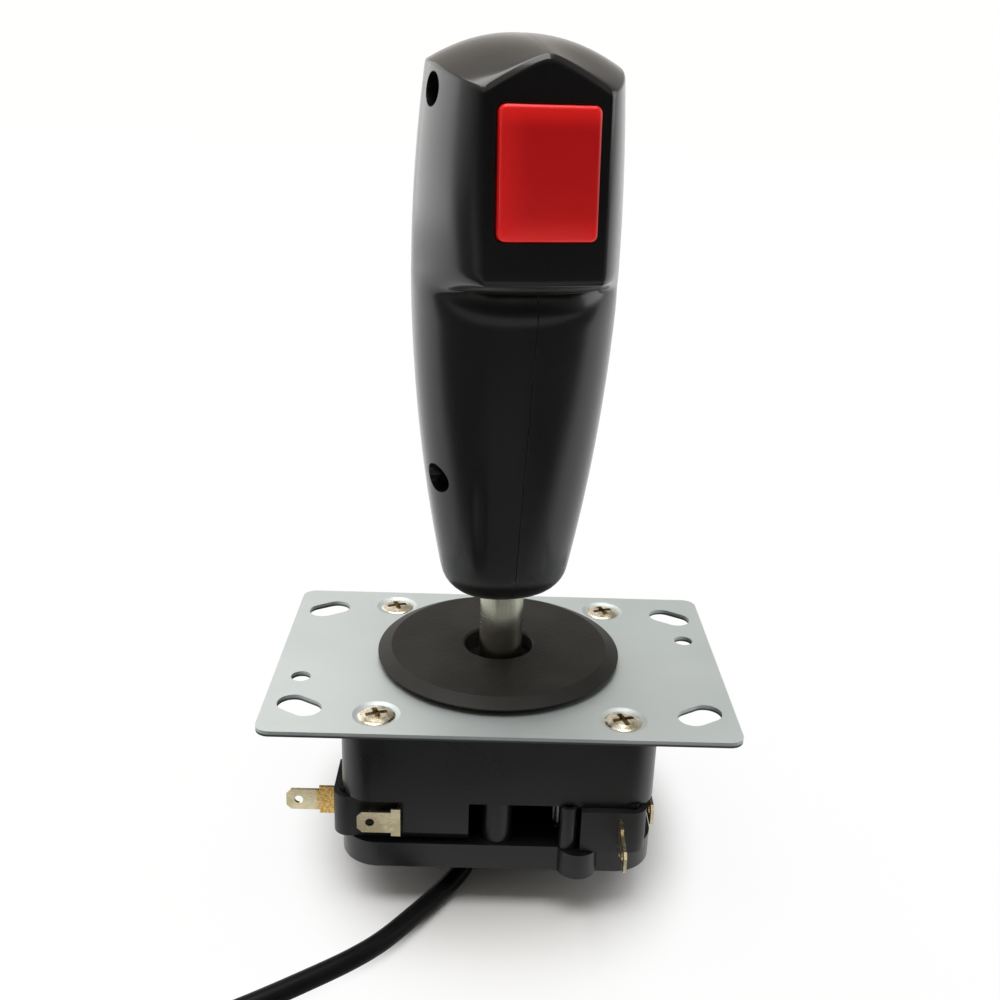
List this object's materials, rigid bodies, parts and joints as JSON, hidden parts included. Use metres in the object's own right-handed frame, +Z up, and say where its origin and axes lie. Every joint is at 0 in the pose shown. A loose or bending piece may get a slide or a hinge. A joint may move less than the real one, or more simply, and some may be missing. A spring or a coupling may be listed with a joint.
{
  "type": "arcade flight joystick",
  "caption": "Black arcade flight joystick: pistol grip with a red trigger button on a sprung ball-pivot shaft, over a zinc mounting plate and a square black switch base.",
  "frame": {"origin": "on the floor under the shaft axis, at the underside of the restrictor gate", "axes": "+Z up along the shaft, X along the plate's long side, -Y towards the user"},
  "size_m": [0.1245, 0.1629, 0.17],
  "materials": {
    "zinc_steel": "bright zinc plate, satin",
    "turned_steel": "turned and polished",
    "spring_steel": "plain",
    "nickel_screw": "nickel plated",
    "tinned_brass": "tinned",
    "moulded_black": "moulded, half gloss",
    "grip_black": "moulded, satin",
    "washer_black": "grained top, glossy bevel",
    "switch_black": "moulded",
    "button_red": "moulded, glossy",
    "plunger_red": "moulded",
    "nylon_white": "moulded",
    "soft_rubber": "soft",
    "cable_black": "glossy sheath"
  },
  "bodies": {
    "base": {"mounting_plate": "zinc_steel", "plate_screws": "nickel_screw", "housing": "moulded_black", "pivot_retainer": "nylon_white", "bottom_plate": "moulded_black", "bottom_screws": "nickel_screw", "restrictor_gate": "moulded_black", "cable_grommet": "soft_rubber", "return_spring": "spring_steel", "switch_case_front": "switch_black", "switch_case_right": "switch_black", "switch_case_rear": "switch_black", "switch_case_left": "switch_black", "switch_terminals_front": "tinned_brass", "switch_terminals_right": "tinned_brass", "switch_terminals_rear": "tinned_brass", "switch_terminals_left": "tinned_brass", "cable_tail": "cable_black", "cable": "cable_black", "cable_coil": "cable_black", "cable_tie": "soft_rubber", "cable_connector": "nylon_white"},
    "swivel": {"pivot_liner": "nylon_white"},
    "stick": {"shaft": "turned_steel", "pivot_ball": "nylon_white", "actuator": "moulded_black", "retaining_clip": "spring_steel", "grip_left": "grip_black", "grip_right": "grip_black", "grip_screws": "nickel_screw", "trigger_switch": "switch_black", "trigger_terminals": "tinned_brass", "trigger_leads": "cable_black"},
    "washer": {"dust_washer": "washer_black"},
    "trigger": {"trigger_button": "button_red"},
    "trigger_plunger": {"trigger_plunger": "nylon_white"},
    "lever_front": {"switch_lever_front": "spring_steel"},
    "plunger_front": {"switch_plunger_front": "plunger_red"},
    "lever_right": {"switch_lever_right": "spring_steel"},
    "plunger_right": {"switch_plunger_right": "plunger_red"},
    "lever_rear": {"switch_lever_rear": "spring_steel"},
    "plunger_rear": {"switch_plunger_rear": "plunger_red"},
    "lever_left": {"switch_lever_left": "spring_steel"},
    "plunger_left": {"switch_plunger_left": "plunger_red"}
  },
  "joints": [
    {"name": "tilt_x", "type": "hinge", "parent": "base", "child": "swivel", "pos_m": [0, 0, 0.033], "axis": [1, 0, 0], "range_deg": [-8, 8], "stiffness_Nm_per_rad": 0.9, "deforming": ["return_spring", "cable_tail"]},
    {"name": "tilt_y", "type": "hinge", "parent": "swivel", "child": "stick", "pos_m": [0, 0, 0.033], "axis": [0, 1, 0], "range_deg": [-8, 8], "stiffness_Nm_per_rad": 0.9, "deforming": ["return_spring", "cable_tail"]},
    {"name": "washer_slide", "type": "slide", "parent": "base", "child": "washer", "axis": [0, 1, 0], "range_m": [-0.0014, 0.0014]},
    {"name": "trigger_press", "type": "slide", "parent": "stick", "child": "trigger", "axis": [-0.2076, 0.9765, -0.0576], "range_m": [0, 0.0015], "stiffness_N_per_m": 250, "springref_m": -0.002},
    {"name": "trigger_plunger_press", "type": "slide", "parent": "stick", "child": "trigger_plunger", "axis": [-0.2076, 0.9765, -0.0576], "range_m": [0, 0.0015]},
    {"name": "lever_front_hinge", "type": "hinge", "parent": "base", "child": "lever_front", "pos_m": [-0.0269, -0.0129, 0.02005], "axis": [0, 0, 1], "range_deg": [-4.2, 4.2]},
    {"name": "plunger_front_press", "type": "slide", "parent": "base", "child": "plunger_front", "axis": [0, -1, 0], "range_m": [-0.0011, 0.0011]},
    {"name": "lever_right_hinge", "type": "hinge", "parent": "base", "child": "lever_right", "pos_m": [0.0129, -0.0269, 0.02005], "axis": [0, 0, 1], "range_deg": [-4.2, 4.2]},
    {"name": "plunger_right_press", "type": "slide", "parent": "base", "child": "plunger_right", "axis": [1, 0, 0], "range_m": [-0.0011, 0.0011]},
    {"name": "lever_rear_hinge", "type": "hinge", "parent": "base", "child": "lever_rear", "pos_m": [0.0269, 0.0129, 0.02005], "axis": [0, 0, 1], "range_deg": [-4.2, 4.2]},
    {"name": "plunger_rear_press", "type": "slide", "parent": "base", "child": "plunger_rear", "axis": [0, 1, 0], "range_m": [-0.0011, 0.0011]},
    {"name": "lever_left_hinge", "type": "hinge", "parent": "base", "child": "lever_left", "pos_m": [-0.0129, 0.0269, 0.02005], "axis": [0, 0, 1], "range_deg": [-4.2, 4.2]},
    {"name": "plunger_left_press", "type": "slide", "parent": "base", "child": "plunger_left", "axis": [-1, 0, 0], "range_m": [-0.0011, 0.0011]}
  ],
  "couplings": [
    {"joint": "washer_slide", "follows": "tilt_x", "m_per_rad": -0.0095},
    {"joint": "trigger_plunger_press", "follows": "trigger_press", "ratio": 1},
    {"joint": "lever_front_hinge", "follows": "tilt_x", "ratio": 0.49},
    {"joint": "plunger_front_press", "follows": "tilt_x", "m_per_rad": -0.007},
    {"joint": "lever_right_hinge", "follows": "tilt_y", "ratio": 0.49},
    {"joint": "plunger_right_press", "follows": "tilt_y", "m_per_rad": -0.007},
    {"joint": "lever_rear_hinge", "follows": "tilt_x", "ratio": -0.49},
    {"joint": "plunger_rear_press", "follows": "tilt_x", "m_per_rad": 0.007},
    {"joint": "lever_left_hinge", "follows": "tilt_y", "ratio": -0.49},
    {"joint": "plunger_left_press", "follows": "tilt_y", "m_per_rad": 0.007}
  ]
}
